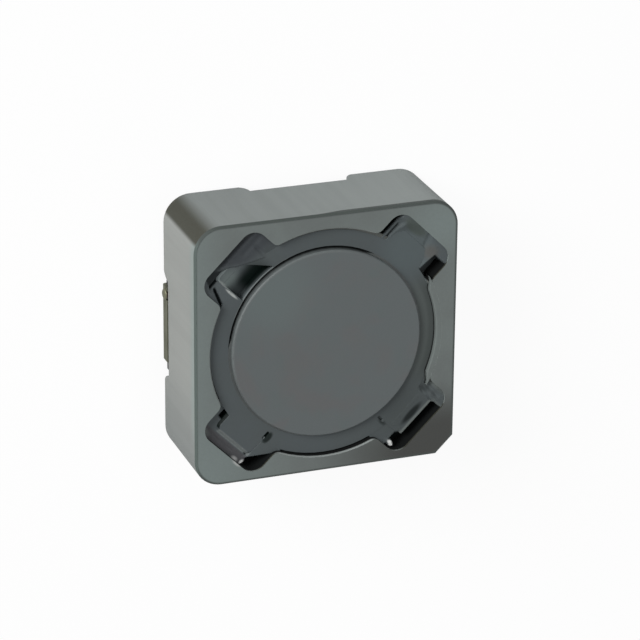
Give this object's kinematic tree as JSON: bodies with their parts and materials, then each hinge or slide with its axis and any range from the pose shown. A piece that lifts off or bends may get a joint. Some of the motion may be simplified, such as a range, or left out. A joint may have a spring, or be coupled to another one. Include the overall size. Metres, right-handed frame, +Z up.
{
  "type": "shielded power inductor",
  "caption": "Surface-mount shielded power inductor: a wound ferrite drum held by a moulded ring in a square ferrite shield, with two solder pads underneath.",
  "frame": {"origin": "middle of the footprint, on the board's surface, under the solder pads", "axes": "+Z up from the board, out of the flat top; the two terminals lie on the -X and +X sides; the shield's one cut corner is at +X -Y"},
  "size_m": [0.0122, 0.012, 0.0045],
  "materials": {
    "ferrite_shield": "ground sintered ferrite, matt grey with a fine grain",
    "ferrite_drum": "ground sintered ferrite, matt grey, faintly mottled",
    "enamelled_copper": "round copper wire under clear amber enamel, bonded into one coil",
    "ring_plastic": "smooth moulded dark blue-grey, slightly satin",
    "base_plastic": "moulded black",
    "tinned_terminal": "tinned strip, dull",
    "solder": "dull solder",
    "adhesive": "cured grey adhesive, semi-gloss"
  },
  "bodies": {
    "root": {"shield_core": "ferrite_shield", "drum_core": "ferrite_drum", "winding": "enamelled_copper", "spacer_ring": "ring_plastic", "base": "base_plastic", "terminal_left": "tinned_terminal", "terminal_right": "tinned_terminal", "solder_left": "solder", "solder_right": "solder", "adhesive_tl": "adhesive", "adhesive_tr": "adhesive", "adhesive_bl": "adhesive", "adhesive_br": "adhesive"}
  },
  "joints": []
}
